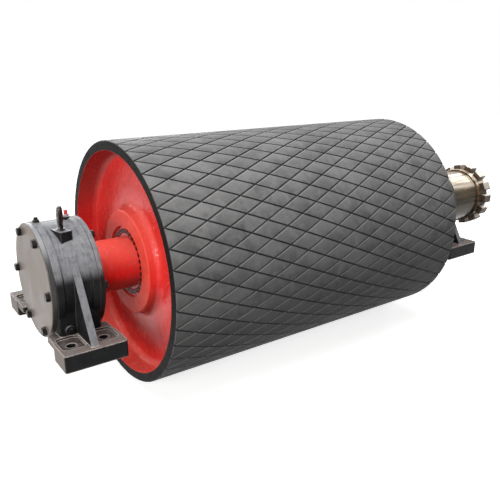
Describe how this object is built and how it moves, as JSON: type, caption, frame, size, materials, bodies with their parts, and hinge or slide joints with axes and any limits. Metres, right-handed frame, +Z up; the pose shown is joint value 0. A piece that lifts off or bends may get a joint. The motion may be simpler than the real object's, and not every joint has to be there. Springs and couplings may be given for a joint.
{
  "type": "conveyor pulley drum",
  "caption": "Rubber-lagged conveyor pulley drum with diamond grooves, red dished end discs, a through shaft in two foot-mounted bearing housings and a lugged coupling half.",
  "frame": {"origin": "on the mounting plane under the idle-side bearing housing, at the centre of its four foot bolts", "axes": "+X along the shaft from the idle side to the drive side, +Z up from the mounting plane, +Y across the shaft"},
  "size_m": [2.8025, 1.03, 1.03],
  "materials": {
    "rubber_lagging": "matte",
    "red_paint": "gloss",
    "dark_paint": "semi-gloss",
    "cover_paint": "satin",
    "black_steel": "satin",
    "bright_steel": "machined",
    "bronze_paint": "satin",
    "cage_brass": "machined",
    "seal_rubber": "matte",
    "red_cap": "gloss"
  },
  "bodies": {
    "bearing_supports": {"housing_idle": "dark_paint", "housing_drive": "dark_paint", "end_cover_idle": "cover_paint", "outer_cover_drive": "cover_paint", "inner_cover_idle": "dark_paint", "inner_cover_drive": "dark_paint", "cover_gaskets": "seal_rubber", "cover_bolts": "black_steel", "cover_washers": "black_steel", "lip_seals": "seal_rubber", "locating_rings": "bright_steel", "outer_race_idle": "bright_steel", "outer_race_drive": "bright_steel", "lifting_eyes": "black_steel", "grease_nipples": "bright_steel", "nipple_caps": "red_cap", "top_plugs": "black_steel", "drain_plugs": "black_steel"},
    "pulley": {"lagging_idle_sheet": "rubber_lagging", "lagging_middle_sheet": "rubber_lagging", "lagging_drive_sheet": "rubber_lagging", "drum_shell": "red_paint", "shell_welds": "red_paint", "end_disc_idle": "red_paint", "end_disc_drive": "red_paint", "shaft": "red_paint", "lock_outer_rings": "bright_steel", "lock_inner_rings": "bright_steel", "lock_front_rings": "red_paint", "lock_rear_rings": "bright_steel", "lock_screws": "red_paint", "labyrinth_rings": "black_steel", "inner_race_idle": "bright_steel", "inner_race_drive": "bright_steel", "lock_nuts": "bright_steel", "lock_washers": "bright_steel", "coupling_hub": "bronze_paint", "coupling_crown": "bronze_paint", "coupling_lugs": "bronze_paint", "crown_screws": "black_steel", "drive_key": "bright_steel", "end_plate": "bright_steel", "end_plate_screws": "black_steel"},
    "idle_roller_set": {"rollers_idle": "bright_steel", "cage_idle": "cage_brass"},
    "drive_roller_set": {"rollers_drive": "bright_steel", "cage_drive": "cage_brass"}
  },
  "joints": [
    {"name": "drum_spin", "type": "hinge", "parent": "bearing_supports", "child": "pulley", "pos_m": [0, 0, 0.235], "axis": [1, 0, 0], "continuous": true},
    {"name": "idle_cage_spin", "type": "hinge", "parent": "bearing_supports", "child": "idle_roller_set", "pos_m": [0, 0, 0.235], "axis": [1, 0, 0], "continuous": true},
    {"name": "drive_cage_spin", "type": "hinge", "parent": "bearing_supports", "child": "drive_roller_set", "pos_m": [2.15, 0, 0.235], "axis": [1, 0, 0], "continuous": true}
  ],
  "couplings": [
    {"joint": "idle_cage_spin", "follows": "drum_spin", "ratio": 0.42},
    {"joint": "drive_cage_spin", "follows": "drum_spin", "ratio": 0.42}
  ]
}
